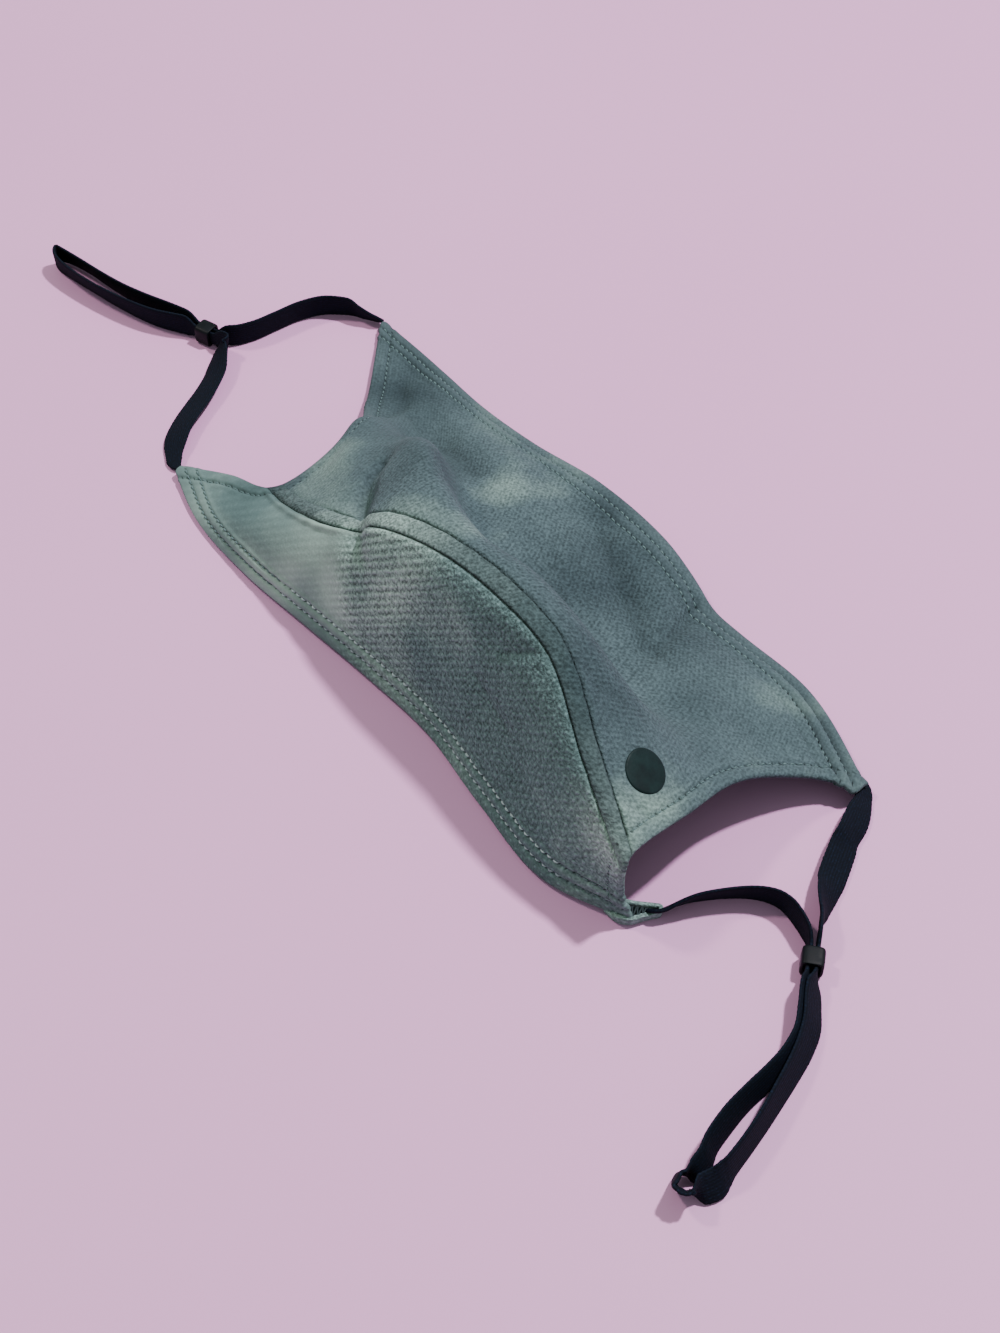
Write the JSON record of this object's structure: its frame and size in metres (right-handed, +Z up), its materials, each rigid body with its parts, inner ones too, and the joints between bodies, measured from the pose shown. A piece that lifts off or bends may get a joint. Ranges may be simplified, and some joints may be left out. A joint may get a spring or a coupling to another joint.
{
  "type": "cloth face mask",
  "caption": "Reusable two-panel cloth face mask with a raised seam band and elastic ear loops gathered in sliders, lying open side down.",
  "frame": {"origin": "middle of the mask body's footprint, on the surface that it lies on", "axes": "+X along the mask from its left end to its right end, -Y towards the chin hem, +Z up from the surface"},
  "size_m": [0.3383, 0.1173, 0.0477],
  "materials": {
    "lower_knit": "brushed polyester knit, soft mottled dye",
    "band_knit": "folded knit binding",
    "upper_knit": "brushed polyester knit, soft mottled dye",
    "elastic": "flat woven elastic",
    "slider_rubber": "moulded matt rubber",
    "patch_print": "flat transfer print"
  },
  "bodies": {
    "root": {"lower_panel": "lower_knit", "seam_band": "band_knit", "upper_panel": "upper_knit", "ear_loop_left": "elastic", "ear_loop_right": "elastic", "slider_left": "slider_rubber", "slider_right": "slider_rubber", "round_patch": "patch_print"}
  },
  "joints": []
}
